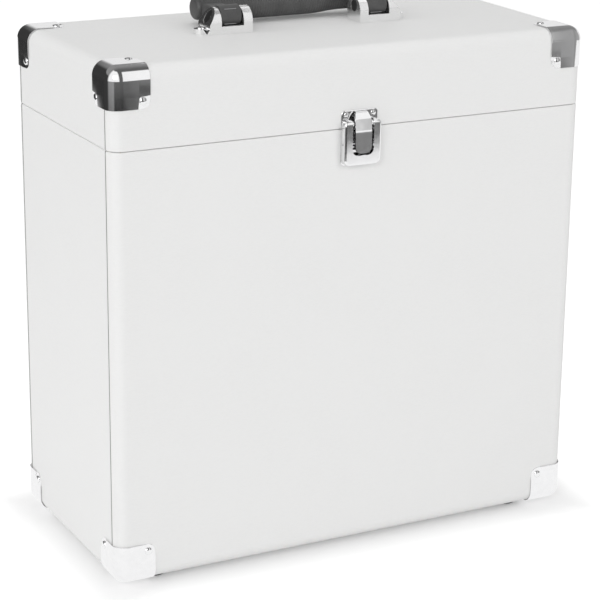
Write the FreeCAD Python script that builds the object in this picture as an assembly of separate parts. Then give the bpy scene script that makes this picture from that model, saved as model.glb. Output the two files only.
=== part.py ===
import FreeCAD, Part
import math
import os
from FreeCAD import Vector

# Record carrying case: a boarded box with a hinged lid, covered in leathercloth.
# Millimetres. X runs to the right, Y to the back, Z up; the feet stand on Z = 0
# and the middle of the case lies over the origin.

os.makedirs("parts", exist_ok=True)

# Case
case_width = 365.0
case_depth = 176.0
case_height = 362.0
lid_height = 55.5
edge_radius = 9.0
board = 9.0
cover = 0.6
board_chamfer_share = 0.7
parting_gap = 0.6
seam_gap = 0.5
lining = 1.5
overrun = 2.0
hole_clearance = 0.05

# Rim strips that line the lid up on the body
rim_thickness = 3.0
rim_depth = 30.0
rim_lip = 6.0
rim_clearance = 0.5
rim_chamfer = 1.2

# Feet
foot_height = 5.0
foot_radius = 8.0
foot_recess_gap = 1.2
foot_web = 2.2
foot_inset_x = 36.5
foot_inset_y = 22.0

# Corner caps
cap_leg = 28.0
cap_sheet = 0.6
cap_raise = 0.4
cap_lobe_radius = 6.0
cap_pad = 9.0
cap_rivet_edge = 5.3

# Fastener heads: sides, and their rings as (width share, height share); shanks are square
head_sides = 8
dome_shares = ((1, 0), (0.6, 1))

# Domed rivets of the corner caps
rivet_radius = 2.7
rivet_dome = 1.3
rivet_shank = 2.2
rivet_length = 7.0

# Small rivets of the latch plates
latch_rivet_radius = 2.0
latch_rivet_dome = 0.8
latch_rivet_shank = 1.8
latch_rivet_length = 6.0

# Screws
screw_head_radius = 2.7
screw_head_height = 1.1
screw_shank = 2.4
screw_length = 8.0
foot_screw_length = 10.0

# Butt hinges
hinge_inset = 67.5
hinge_width = 38.0
hinge_leaf_height = 25.0
hinge_leaf = 1.2
hinge_axis_out = 3.0
hinge_knuckle_radius = 2.8
hinge_pin_radius = 1.5
hinge_running = 0.05
hinge_side_gap = 0.2
hinge_notch_gap = 0.5
hinge_screw_pitch = 12.5
hinge_screw_drop = 10.5
hinge_screw_stagger = 7.5

# Latch: "out" sizes run forward from the case front, "up" sizes from the parting line
latch_width = 28.6
latch_plate = 1.0
latch_keeper_top = 12.8
latch_keeper_bottom = 0.6
latch_base_drop = 25.7
latch_plate_radius = 3.0
latch_rivet_side = 4.0
latch_rivet_top = 3.0
latch_base_rivet_ups = (-6.5, -20.8)
lever_pivot_out = 4.0
lever_pivot_up = 3.8
lever_round = 2.7
lever_sheet = 1.0
lever_drop = 25.2
lever_slot_width = 16.6
lever_slot_drop = 18.2
lever_slot_radius = 4.6
lever_top_radius = 4.0
lever_foot_radius = 4.5
ear_sheet = 1.1
ear_gap = 0.2
ear_radius = 1.8
ear_root_drop = 6.0
lever_pin_radius = 1.1
latch_running = 0.05
link_width = 12.6
link_sheet = 1.1
link_top_width = 9.0
link_taper_up = 5.5
link_foot_out = 7.4
link_foot_drop = 16.6
link_foot_radius = 4.4
link_crease_out = 7.2
link_crease_drop = 1.5
link_shoulder_out = 6.0
link_shoulder_up = 8.2
link_top_out = 3.7
link_top_up = 11.8
link_lip_out = 1.5
link_pin_out = 3.7
link_pin_drop = 10.1
link_pin_radius = 0.8
link_eye_half = 1.6
link_lug = 1.4
catch_width = 8.4
catch_clearance = 0.3
catch_ledge_out = 2.4
catch_belly_out = 3.5
catch_belly_up = 6.2
catch_chin_up = 4.4
catch_root_up = 2.0

# Handle brackets, measured from the middle of the case
bracket_inner = 42.7
bracket_window_inner = 49.5
bracket_window_outer = 66.5
bracket_outer = 75.5
bracket_depth = 19.6
bracket_side_height = 7.9
bracket_slope_foot = 7.0
bracket_slope_top = 69.0
bracket_sill = 5.5
bracket_sill_wall = 2.2
bracket_floor = 1.5
lug_centre = 78.6
lug_radius = 4.6
lug_height = 3.8
lug_screw_head_radius = 2.8
lug_screw_head_height = 1.4
lug_screw_shank = 3.0
window_rivet_radius = 3.0
window_rivet_dome = 1.2
pivot_height = 11.6
pivot_pin_radius = 4.4
pivot_running = 0.1
pivot_pin_recess = 0.3

# Handle
barrel_radius = 7.4
barrel_side_gap = 0.5
arm_half_height = 4.6
arm_chamfer = 2.4
grip_sides = 20
grip_reach = 33.0
grip_middle_radius = 10.0
grip_middle_half = 20.0
grip_neck_radius = 8.3
grip_neck = 47.0
grip_end_radius = 5.6
grip_end = 69.0
grip_end_taper = 3.0
core_thickness = 2.0
core_width = 9.0
core_eye = 5.4

# Places that follow from the sizes
half_width = case_width / 2
half_depth = case_depth / 2
hinge_x = half_width - hinge_inset
case_bottom = foot_height
case_top = case_bottom + case_height
parting = case_top - lid_height
body_rim = parting - parting_gap / 2
lid_rim = parting + parting_gap / 2
wall = cover + board
inner_x = half_width - wall
inner_y = half_depth - wall
inner_bottom = case_bottom + wall
inner_top = case_top - wall
seam_y = half_depth - wall
front = -half_depth
middle_height = (case_bottom + case_top) / 2
corner_cut = 2 * edge_radius + 2 * cover
far = case_width + case_depth + case_height

left_right = (("left", -1), ("right", 1))
front_back = (("front", -1), ("back", 1))


def save(name, shape):
    shape.exportStep("parts/" + name + ".step")


def block(x0, x1, y0, y1, z0, z1):
    return Part.makeBox(x1 - x0, y1 - y0, z1 - z0, Vector(x0, y0, z0))


def joined(shapes):
    whole = shapes[0]
    if len(shapes) > 1:
        whole = shapes[0].fuse(shapes[1:])
    return whole.removeSplitter()


def across(shape):
    return shape.mirror(Vector(0, 0, 0), Vector(1, 0, 0))


def pointed(shape, tip, direction):
    """Moves a shape that is modelled about Z, with its seat at Z = 0."""
    turn = FreeCAD.Rotation(Vector(0, 0, 1), direction)
    placed = shape.copy()
    placed.Placement = FreeCAD.Placement(tip, turn)
    return placed


def rod(radius, start, end):
    run = end - start
    return Part.makeCylinder(radius, run.Length, start, run)


def polyhedron(faces):
    """A solid from its faces, each a list of corners that turns left seen from outside."""
    return Part.Solid(Part.makeShell([Part.Face(Part.makePolygon(c + c[:1])) for c in faces]))


def stacked_rings(rings):
    """A solid from rings of corners, lowest first."""
    faces = [rings[0][::-1], rings[-1]]
    for low, high in zip(rings, rings[1:]):
        faces += [[low[i - 1], low[i], high[i], high[i - 1]] for i in range(len(low))]
    return polyhedron(faces)


def ring(radius, z, sides=head_sides):
    turns = [2 * math.pi * i / sides for i in range(sides)]
    return [Vector(radius * math.cos(t), radius * math.sin(t), z) for t in turns]


def shank_form(width, low, high):
    half = width / 2
    return block(-half, half, -half, half, low, high)


def domed_fastener(head_radius, dome, shank, length):
    """A rivet or screw: its seat lies on Z = 0 and its shank points down."""
    head = stacked_rings([ring(head_radius * wide, dome * up) for wide, up in dome_shares])
    return joined([head, shank_form(shank, -length, 0)])


def drilled(shape, holes):
    for hole in holes:
        if shape.BoundBox.intersect(hole.BoundBox):
            shape = shape.cut(hole)
    return shape


class Fasteners:
    """Alike rivets or screws with the holes that their shanks go through."""

    def __init__(self, head_radius, dome, shank, length):
        self.model = domed_fastener(head_radius, dome, shank, length)
        self.hole = shank_form(shank + 2 * hole_clearance, -length, overrun)
        self.solids = []
        self.holes = []

    def add(self, tip, direction):
        self.solids.append(pointed(self.model, tip, direction))
        self.holes.append(pointed(self.hole, tip, direction))

    def save(self, name):
        save(name, Part.makeCompound(self.solids))


# Fasteners, placed first because the boards and covers take their holes

def cap_rivets(end, level):
    rivets = Fasteners(rivet_radius, rivet_dome, rivet_shank, rivet_length)
    inset = cap_leg - cap_rivet_edge
    for _, side in left_right:
        for _, face in front_back:
            x, y, z = side * (half_width - inset), face * (half_depth - inset), level - end * inset
            rivets.add(Vector(side * (half_width + cap_sheet), y, z), Vector(side, 0, 0))
            rivets.add(Vector(x, face * (half_depth + cap_sheet), z), Vector(0, face, 0))
            rivets.add(Vector(x, y, level + end * cap_sheet), Vector(0, 0, end))
    return rivets


def foot_screws():
    screws = Fasteners(screw_head_radius, screw_head_height, screw_shank, foot_screw_length)
    for x, y in foot_places():
        screws.add(Vector(x, y, foot_web), Vector(0, 0, -1))
    return screws


def hinge_screws(end):
    screws = Fasteners(screw_head_radius, screw_head_height, screw_shank, screw_length)
    seat = half_depth + hinge_leaf
    for _, side in left_right:
        for step in (-1, 0, 1):
            drop = hinge_screw_drop + (0 if step == 0 else hinge_screw_stagger)
            x = side * hinge_x + step * hinge_screw_pitch
            screws.add(Vector(x, seat, parting + end * drop), Vector(0, 1, 0))
    return screws


def keeper_rivets():
    rivets = Fasteners(latch_rivet_radius, latch_rivet_dome, latch_rivet_shank, latch_rivet_length)
    x = latch_width / 2 - latch_rivet_side
    for _, side in left_right:
        tip = Vector(side * x, front - latch_plate, parting + latch_keeper_top - latch_rivet_top)
        rivets.add(tip, Vector(0, -1, 0))
    return rivets


def base_rivets():
    rivets = Fasteners(latch_rivet_radius, latch_rivet_dome, latch_rivet_shank, latch_rivet_length)
    for up in latch_base_rivet_ups:
        rivets.add(Vector(0, front - latch_plate, parting + up), Vector(0, -1, 0))
    return rivets


def lug_screws():
    screws = Fasteners(
        lug_screw_head_radius, lug_screw_head_height, lug_screw_shank,
        lug_height + cover + board,
    )
    for _, side in left_right:
        screws.add(Vector(side * lug_centre, 0, case_top + lug_height), Vector(0, 0, 1))
    return screws


def window_rivets():
    rivets = Fasteners(
        window_rivet_radius, window_rivet_dome, lug_screw_shank,
        bracket_floor + cover + board,
    )
    x = (bracket_window_inner + bracket_window_outer) / 2
    for _, side in left_right:
        rivets.add(Vector(side * x, 0, case_top + bracket_floor), Vector(0, 0, 1))
    return rivets


# Boards and covers

def case_box(inset):
    return block(
        inset - half_width, half_width - inset, inset - half_depth, half_depth - inset,
        case_bottom + inset, case_top - inset,
    )


def rounded_case(inset):
    box = case_box(inset)
    return box.makeFillet(edge_radius - inset, box.Edges)


def planed_boards():
    """The boards' outside: its edges are planed to a flat that the cover pads out round."""
    box = case_box(cover)
    return box.makeChamfer(board_chamfer_share * edge_radius, box.Edges)


def at_corner(model, side, face, end):
    """A shape of the lower front left corner, mirrored to another corner."""
    if side > 0:
        model = across(model)
    if face > 0:
        model = model.mirror(Vector(0, 0, 0), Vector(0, 1, 0))
    if end > 0:
        model = model.mirror(Vector(0, 0, middle_height), Vector(0, 0, 1))
    return model


def corners_off(shape):
    """Boards and covers have their corners planed off flat under the caps."""
    origin = Vector(-half_width, -half_depth, case_bottom)
    axes = Vector(1, 0, 0), Vector(0, 1, 0), Vector(0, 0, 1)
    x, y, z = [origin + axis * corner_cut for axis in axes]
    wedge = polyhedron([[origin, y, x], [origin, x, z], [origin, z, y], [x, y, z]])
    wedges = [
        at_corner(wedge, side, face, end)
        for _, side in left_right for _, face in front_back for end in (-1, 1)
    ]
    return shape.cut(wedges)


def shell_boards(name, boarded, rims, floors, end_name, holes):
    """Five boards: front and back over the full width, the sides between them,
    and the bottom or top board between all four."""
    low, high = rims
    pieces = {}
    for face_name, face in front_back:
        y0, y1 = sorted((face * inner_y, face * far))
        pieces[face_name] = block(-far, far, y0, y1, low, high)
    for side_name, side in left_right:
        x0, x1 = sorted((side * inner_x, side * far))
        pieces[side_name] = block(x0, x1, -inner_y, inner_y, low, high)
    pieces[end_name] = block(-inner_x, inner_x, -inner_y, inner_y, *floors)
    for piece, tool in pieces.items():
        save(name + "_" + piece + "_board", drilled(boarded.common(tool), holes))


def shell_covers(name, skin, rims, holes):
    """A front and a back sheet that turn round the upright edges, and a wrap
    that goes over the sides and the bottom or top between their seams."""
    low, high = rims
    sheets = {"wrap": block(-far, far, -seam_y, seam_y, low, high)}
    for face_name, face in front_back:
        y0, y1 = sorted((face * seam_y, face * far))
        sheets[face_name] = block(-far, far, y0, y1, low, high)
    sheets["wrap"] = sheets["wrap"].cut(seam_slots())
    for sheet, tool in sheets.items():
        save(name + "_" + sheet + "_cover", drilled(skin.common(tool), holes))


def seam_slots():
    """The open seams on the sides, which end under the corner caps."""
    slots = []
    z0 = case_bottom + cap_leg / 2
    z1 = case_top - cap_leg / 2
    for _, side in left_right:
        x0, x1 = sorted((side * inner_x, side * far))
        for _, face in front_back:
            y0, y1 = sorted((face * seam_y, face * (seam_y - seam_gap)))
            slots.append(block(x0, x1, y0, y1, z0, z1))
    return Part.makeCompound(slots)


def tray(thickness, floor, rim):
    """A five-sided lining that stands on its floor and opens at its rim."""
    inside = inner_x - thickness, inner_y - thickness
    toward = 1 if rim > floor else -1
    z = sorted((floor, rim))
    hollow = sorted((floor + toward * thickness, rim + toward * overrun))
    outer = block(-inner_x, inner_x, -inner_y, inner_y, *z)
    return outer.cut(block(-inside[0], inside[0], -inside[1], inside[1], *hollow))


def rim_strip(reach, start, end):
    """A strip against the wall at Y = reach; its lip stands clear of the lid."""
    top = body_rim + rim_lip + parting_gap / 2
    back = reach - rim_thickness
    outline = [
        (reach, parting - rim_depth), (reach, body_rim), (reach - rim_clearance, body_rim),
        (reach - rim_clearance, top - rim_chamfer), (reach - rim_clearance - rim_chamfer, top),
        (back, top), (back, parting - rim_depth),
    ]
    points = [Vector(start, y, z) for y, z in outline]
    face = Part.Face(Part.makePolygon(points + points[:1]))
    return face.extrude(Vector(end - start, 0, 0))


def rim_liner():
    long_strip = rim_strip(inner_y, -inner_x + rim_clearance, inner_x - rim_clearance)
    reach = inner_y - rim_thickness
    short_strip = rim_strip(inner_x, -reach, reach)
    short_strip.rotate(Vector(0, 0, 0), Vector(0, 0, 1), -90)
    mirrored = long_strip.mirror(Vector(0, 0, 0), Vector(0, 1, 0))
    strips = [long_strip, mirrored, short_strip, across(short_strip)]
    save("rim_liner", Part.makeCompound(strips))


# Feet

def foot_places():
    x = half_width - foot_inset_x
    y = half_depth - foot_inset_y
    return [(side * x, face * y) for _, face in front_back for _, side in left_right]


def feet(holes):
    """Four rubber bumpers, each with a recess for its screw."""
    solids = []
    for x, y in foot_places():
        foot = Part.makeCylinder(foot_radius, foot_height, Vector(x, y, 0))
        recess_radius = screw_head_radius + foot_recess_gap
        recess = stacked_rings([ring(recess_radius, -overrun), ring(recess_radius, foot_web)])
        recess.translate(Vector(x, y, 0))
        foot = foot.cut(recess)
        solids.append(drilled(foot, holes))
    save("feet", Part.makeCompound(solids))


# Corner caps

def lobe_prism(direction, leg, radius):
    """A square corner of side leg with a rounded far corner, as a long prism.
    The corner of the case is at the origin and the case lies on the plus side."""
    box = block(-far, leg, -far, leg, -far, far)
    far_edge = [e for e in box.Edges if e.BoundBox.XMin > 0 and e.BoundBox.YMin > 0]
    prism = box.makeFillet(radius, far_edge)
    axis = Vector(0, 1, 0) if direction == "x" else Vector(1, 0, 0)
    if direction != "z":
        prism.rotate(Vector(0, 0, 0), axis, 90 if direction == "y" else -90)
    if direction == "y":
        prism = prism.mirror(Vector(0, 0, 0), Vector(0, 0, 1))
    return prism


def pad_pocket(direction):
    """The flat round a rivet, pressed below the raised part of the cap."""
    start = cap_leg - cap_pad
    deep = cap_sheet + overrun
    pocket = block(start, start + cap_leg, start, start + cap_leg, -deep, -cap_sheet)
    if direction == "x":
        pocket.rotate(Vector(0, 0, 0), Vector(0, 1, 0), -90)
        pocket = pocket.mirror(Vector(0, 0, 0), Vector(1, 0, 0))
    if direction == "y":
        pocket.rotate(Vector(0, 0, 0), Vector(1, 0, 0), 90)
        pocket = pocket.mirror(Vector(0, 0, 0), Vector(0, 1, 0))
    return pocket


def corner_cap(shell):
    """The cap of the lower front left corner: one pressed sheet with three lobes."""
    corner = Vector(-half_width, -half_depth, case_bottom)
    region = lobe_prism("x", cap_leg, cap_lobe_radius)
    region = region.common(lobe_prism("y", cap_leg, cap_lobe_radius))
    region = region.common(lobe_prism("z", cap_leg, cap_lobe_radius))
    region.translate(corner)
    cap = shell.common(region)
    for direction in ("x", "y", "z"):
        pocket = pad_pocket(direction)
        pocket.translate(corner)
        cap = cap.cut(pocket)
    return cap


def corner_caps(outer, lower_holes, upper_holes):
    raised = rounded_case(-cap_sheet - cap_raise)
    model = corner_cap(raised.cut(corners_off(outer)))
    for end, name, holes in ((-1, "lower", lower_holes), (1, "upper", upper_holes)):
        caps = [
            drilled(at_corner(model, side, face, end), holes)
            for _, face in front_back for _, side in left_right
        ]
        save(name + "_corner_caps", Part.makeCompound(caps))


# Hinges

def hinge_leaf_shape(end, knuckles):
    """A leaf below (end -1) or above (end 1) the parting line, for the hinge at X = 0."""
    half = hinge_width / 2
    axis_y = half_depth + hinge_axis_out
    notch = hinge_knuckle_radius + hinge_notch_gap
    z0, z1 = sorted((parting + end * notch, parting + end * hinge_leaf_height))
    pieces = [block(-half, half, half_depth, half_depth + hinge_leaf, z0, z1)]
    third = hinge_width / 3
    for place in knuckles:
        x0 = -half + place * third + (hinge_side_gap if place > 0 else 0)
        x1 = -half + (place + 1) * third - (hinge_side_gap if place < 2 else 0)
        low, high = sorted((parting, parting + end * (notch + hinge_leaf)))
        pieces.append(block(x0, x1, half_depth, half_depth + hinge_leaf, low, high))
        start, stop = Vector(x0, axis_y, parting), Vector(x1, axis_y, parting)
        pieces.append(rod(hinge_knuckle_radius, start, stop))
    radius = hinge_pin_radius + (hinge_running if end > 0 else 0)
    bore = rod(radius, Vector(-hinge_width, axis_y, parting), Vector(hinge_width, axis_y, parting))
    return joined(pieces).cut(bore)


def hinges(body_screws, lid_screws):
    pins = []
    for end, name, knuckles, screws in (
        (-1, "body", (0, 2), body_screws), (1, "lid", (1,), lid_screws)
    ):
        model = hinge_leaf_shape(end, knuckles)
        for side_name, side in left_right:
            leaf = model.copy()
            leaf.translate(Vector(side * hinge_x, 0, 0))
            save("hinge_leaf_" + name + "_" + side_name, drilled(leaf, screws.holes))
    for _, side in left_right:
        x, y = side * hinge_x, half_depth + hinge_axis_out
        start = Vector(x - hinge_width / 2, y, parting)
        end = Vector(x + hinge_width / 2, y, parting)
        pins.append(rod(hinge_pin_radius, start, end))
    save("hinge_pins", Part.makeCompound(pins))


# Latch

def side_profile(points, x0, x1):
    """A solid between X = x0 and x1 from (out, up) points of the latch."""
    corners = [Vector(x0, front - out, parting + up) for out, up in points]
    face = Part.Face(Part.makePolygon(corners + corners[:1]))
    return face.extrude(Vector(x1 - x0, 0, 0))


def cross_rod(radius, out, up, x0, x1):
    y, z = front - out, parting + up
    return rod(radius, Vector(x0, y, z), Vector(x1, y, z))


def front_plate(width, top, bottom, top_radius, foot_radius, out0, out1):
    """A plate seen from the front, between two distances in front of the case."""
    plate = block(-width / 2, width / 2, front - out1, front - out0, parting + bottom, parting + top)
    middle = (top + bottom) / 2 + parting
    for radius, end in ((top_radius, 1), (foot_radius, -1)):
        if radius:
            edges = [
                e for e in plate.Edges
                if e.BoundBox.XLength + e.BoundBox.ZLength < e.BoundBox.YLength
                and abs(e.CenterOfMass.x) > width / 2 - radius / 2
                and (e.CenterOfMass.z - middle) * end > 0
            ]
            plate = plate.makeFillet(radius, edges)
    return plate


def latch_keeper(holes):
    """The lid's plate with the raised catch that the link hooks over."""
    plate = front_plate(
        latch_width, latch_keeper_top, latch_keeper_bottom, latch_plate_radius, 0, 0, latch_plate
    )
    ledge_up = link_top_up - link_sheet - catch_clearance
    catch = side_profile(
        [
            (0, ledge_up), (catch_ledge_out, ledge_up), (catch_belly_out, catch_belly_up),
            (catch_belly_out, catch_chin_up), (latch_plate, catch_root_up), (0, catch_root_up),
        ],
        -catch_width / 2, catch_width / 2,
    )
    save("latch_keeper", drilled(joined([plate, catch]), holes))


def latch_base(holes):
    """The body's plate with two ears that carry the lever."""
    plate = front_plate(
        latch_width, -latch_keeper_bottom, -latch_base_drop, 0, latch_plate_radius, 0, latch_plate
    )
    outer = lever_slot_width / 2 - ear_gap
    inner = outer - ear_sheet
    root = latch_plate + ear_gap * 2
    ear = side_profile(
        [
            (0, -ear_root_drop), (latch_plate, -ear_root_drop),
            (lever_pivot_out, lever_pivot_up - ear_radius), (lever_pivot_out, lever_pivot_up + ear_radius),
            (root, lever_pivot_up + ear_radius), (root, -latch_keeper_bottom),
            (0, -latch_keeper_bottom),
        ],
        inner, outer,
    )
    ear = joined([ear, cross_rod(ear_radius, lever_pivot_out, lever_pivot_up, inner, outer)])
    pin_hole = cross_rod(lever_pin_radius, lever_pivot_out, lever_pivot_up, -latch_width, latch_width)
    base = joined([plate, ear, across(ear)]).cut(pin_hole)
    save("latch_base", drilled(base, holes))


def latch_lever_pins():
    """Two short rivets, one through each ear and side of the lever."""
    inner = lever_slot_width / 2 - ear_gap - ear_sheet
    pin = cross_rod(lever_pin_radius, lever_pivot_out, lever_pivot_up, inner, latch_width / 2)
    save("latch_lever_pins", Part.makeCompound([pin, across(pin)]))


def lever_form(shrink):
    """The outside of the lever, or with shrink its hollow."""
    radius = lever_round - shrink
    half = latch_width / 2 - shrink
    back = lever_pivot_out - lever_round - (overrun if shrink else 0)
    slab = side_profile(
        [
            (back, -lever_drop + shrink), (lever_pivot_out + radius, -lever_drop + shrink),
            (lever_pivot_out + radius, lever_pivot_up), (back, lever_pivot_up),
        ],
        -half, half,
    )
    top = cross_rod(radius, lever_pivot_out, lever_pivot_up, -half, half)
    if shrink:
        top = joined([top, side_profile(
            [
                (back, 0), (lever_pivot_out, 0),
                (lever_pivot_out, lever_pivot_up + lever_round + overrun),
                (back, lever_pivot_up + lever_round + overrun),
            ],
            -half, half,
        )])
    form = joined([slab, top])
    outline = front_plate(
        latch_width - 2 * shrink, lever_pivot_up + lever_round + (overrun if shrink else 0),
        -lever_drop + shrink, 0 if shrink else lever_top_radius,
        0 if shrink else lever_foot_radius, -overrun, lever_pivot_out + lever_round + overrun,
    )
    return form.common(outline)


def latch_lever():
    """The pressed frame: a tray with a slot for the link, open at its top."""
    face_out = lever_pivot_out + lever_round
    slot = front_plate(
        lever_slot_width, lever_pivot_up + lever_round + overrun, -lever_slot_drop,
        0, lever_slot_radius, face_out - lever_sheet - overrun, face_out + overrun,
    )
    clear = block(
        -lever_slot_width / 2, lever_slot_width / 2, front - face_out - overrun, front,
        parting - lever_slot_drop + lever_slot_radius, parting + lever_pivot_up + lever_round + overrun,
    )
    lever = lever_form(0).cut(lever_form(lever_sheet)).cut(slot).cut(clear)
    pivot = lever_pin_radius + latch_running
    pivot_bore = cross_rod(pivot, lever_pivot_out, lever_pivot_up, -latch_width, latch_width)
    link_bore = cross_rod(link_pin_radius, link_pin_out, -link_pin_drop, -latch_width, latch_width)
    save("latch_lever", lever.cut(pivot_bore).cut(link_bore))


def latch_link_pin():
    half = latch_width / 2
    save("latch_link_pin", cross_rod(link_pin_radius, link_pin_out, -link_pin_drop, -half, half))


def link_outline():
    """The link seen from the front: parallel, then tapering to its hook."""
    half, top_half = link_width / 2, link_top_width / 2
    points = [
        (-half, -link_foot_drop), (half, -link_foot_drop), (half, link_taper_up),
        (top_half, link_top_up), (-top_half, link_top_up), (-half, link_taper_up),
    ]
    corners = [Vector(x, front - far / 2, parting + up) for x, up in points]
    prism = Part.Face(Part.makePolygon(corners + corners[:1])).extrude(Vector(0, far, 0))
    foot_edges = [
        e for e in prism.Edges
        if e.BoundBox.YLength > case_depth
        and e.CenterOfMass.z < parting - link_foot_drop + link_foot_radius / 2
    ]
    return prism.makeFillet(link_foot_radius, foot_edges)


def latch_hook():
    """The link: a strip bent at its crease and shoulder that hooks over the catch,
    with two lugs behind for its pin."""
    ledge = link_top_up - link_sheet
    lean = (link_shoulder_out - link_top_out) / (link_top_up - link_shoulder_up)
    back = link_top_out - link_sheet * math.hypot(1, lean)
    inner_shoulder = link_shoulder_out - link_sheet
    strip = side_profile(
        [
            (link_foot_out, -link_foot_drop), (link_crease_out, -link_crease_drop),
            (link_shoulder_out, link_shoulder_up), (link_top_out, link_top_up),
            (link_lip_out, link_top_up), (link_lip_out, ledge), (back + lean * link_sheet, ledge),
            (inner_shoulder, link_top_up - (inner_shoulder - back) / lean),
            (link_crease_out - link_sheet, -link_crease_drop),
            (link_foot_out - link_sheet, -link_foot_drop),
        ],
        -link_width / 2, link_width / 2,
    )
    strip = strip.common(link_outline())
    inner, outer = link_width / 2 - link_lug, link_width / 2
    lug = side_profile(
        [
            (link_pin_out - link_eye_half, -link_pin_drop - link_eye_half),
            (link_foot_out, -link_pin_drop - link_eye_half),
            (link_foot_out, -link_pin_drop + link_eye_half),
            (link_pin_out - link_eye_half, -link_pin_drop + link_eye_half),
        ],
        inner, outer,
    )
    hook = joined([strip, lug, across(lug)])
    bore_radius = link_pin_radius + latch_running
    bore = cross_rod(bore_radius, link_pin_out, -link_pin_drop, -latch_width, latch_width)
    save("latch_hook", hook.cut(bore))


# Handle brackets

def pivot_rod(radius, x0, x1):
    z = case_top + pivot_height
    return rod(radius, Vector(x0, 0, z), Vector(x1, 0, z))


def outer_slope(inset):
    """What the slanted outer face of the right-hand bracket cuts away."""
    bracket_top = case_top + bracket_side_height + bracket_depth / 2
    low = bracket_outer - inset, case_top + bracket_slope_foot
    high = bracket_slope_top - inset, bracket_top
    lean = (low[0] - high[0]) / (high[1] - low[1])
    crown = high[0] - lean * overrun, high[1] + overrun
    corners = [low, crown, (bracket_outer + far, crown[1]), (bracket_outer + far, low[1])]
    points = [Vector(x, -far / 2, z) for x, z in corners]
    return Part.Face(Part.makePolygon(points + points[:1])).extrude(Vector(0, far, 0))


def handle_bracket(holes):
    """The cast bracket of the right-hand side: two cheeks, two sills and a floor."""
    half = bracket_depth / 2
    side_top = case_top + bracket_side_height
    bracket_top = side_top + half
    arch = joined([
        block(bracket_inner, bracket_outer, -half, half, case_top, side_top),
        rod(half, Vector(bracket_inner, 0, side_top), Vector(bracket_outer, 0, side_top)),
    ]).common(block(bracket_inner, bracket_outer, -half, half, case_top, bracket_top))
    body = arch.cut(outer_slope(0))
    lug = joined([
        Part.makeCylinder(lug_radius, lug_height, Vector(lug_centre, 0, case_top)),
        block(bracket_window_outer, lug_centre, -lug_radius, lug_radius, case_top, case_top + lug_height),
    ])
    body = joined([body, lug])
    pocket = block(
        bracket_window_inner, bracket_window_outer, bracket_sill_wall - half, half - bracket_sill_wall,
        case_top + bracket_floor, bracket_top + overrun,
    )
    window = block(
        bracket_window_inner, bracket_window_outer, -half - overrun, half + overrun,
        case_top + bracket_sill, bracket_top + overrun,
    )
    body = body.cut(pocket).cut(window)
    return drilled(body.cut(pivot_rod(pivot_pin_radius, 0, half_width)), holes)


def handle_brackets(holes):
    """The brackets and the pins that are fixed in their cheeks, flush with the slant."""
    model = handle_bracket(holes)
    save("handle_brackets", Part.makeCompound([model, across(model)]))
    pin = pivot_rod(
        pivot_pin_radius, bracket_inner + pivot_pin_recess, bracket_outer - pivot_pin_recess
    )
    pin = pin.cut(outer_slope(pivot_pin_recess))
    save("handle_pivot_pins", Part.makeCompound([pin, across(pin)]))


# Handle

def handle_bore():
    return pivot_rod(pivot_pin_radius + pivot_running, -half_width, half_width)


def core_strip():
    """The steel strip inside the grip, with a square eye round each pivot pin."""
    z = case_top + pivot_height
    half = core_width / 2
    middle = (bracket_window_inner + bracket_window_outer) / 2
    low, high = z - core_thickness / 2, z + core_thickness / 2
    pieces = [block(-middle - half, middle + half, grip_reach - half, grip_reach + half, low, high)]
    for _, side in left_right:
        x0, x1 = side * middle - half, side * middle + half
        pieces.append(block(x0, x1, 0, grip_reach, low, high))
        pieces.append(block(x0, x1, -core_eye, core_eye, z - core_eye, z + core_eye))
    return joined(pieces).cut(handle_bore())


def grip_bar():
    """The swelling bar of the grip, a moulding of many narrow sides."""
    right = [
        (grip_middle_half, grip_middle_radius), (grip_neck, grip_neck_radius),
        (grip_end - grip_end_taper, grip_neck_radius), (grip_end, grip_end_radius),
    ]
    stations = [(-x, radius) for x, radius in right[::-1]] + right
    bar = stacked_rings([ring(radius, x, grip_sides) for x, radius in stations])
    return pointed(bar, Vector(0, grip_reach, case_top + pivot_height), Vector(1, 0, 0))


def handle_arm():
    """The right-hand arm, from its barrel between the cheeks to the grip."""
    x0, x1 = bracket_window_inner + barrel_side_gap, bracket_window_outer - barrel_side_gap
    z = case_top + pivot_height
    arm = block(x0, x1, 0, grip_reach, z - arm_half_height, z + arm_half_height)
    long_edges = [
        e for e in arm.Edges if e.BoundBox.YLength > e.BoundBox.XLength + e.BoundBox.ZLength
    ]
    arm = arm.makeChamfer(arm_chamfer, long_edges)
    return joined([arm, pivot_rod(barrel_radius, x0, x1)])


def handle():
    core = core_strip()
    arm = handle_arm()
    grip = joined([grip_bar(), arm, across(arm)])
    grip = grip.cut(core).cut(handle_bore())
    save("handle_grip", grip)
    save("handle_core", core)


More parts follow.
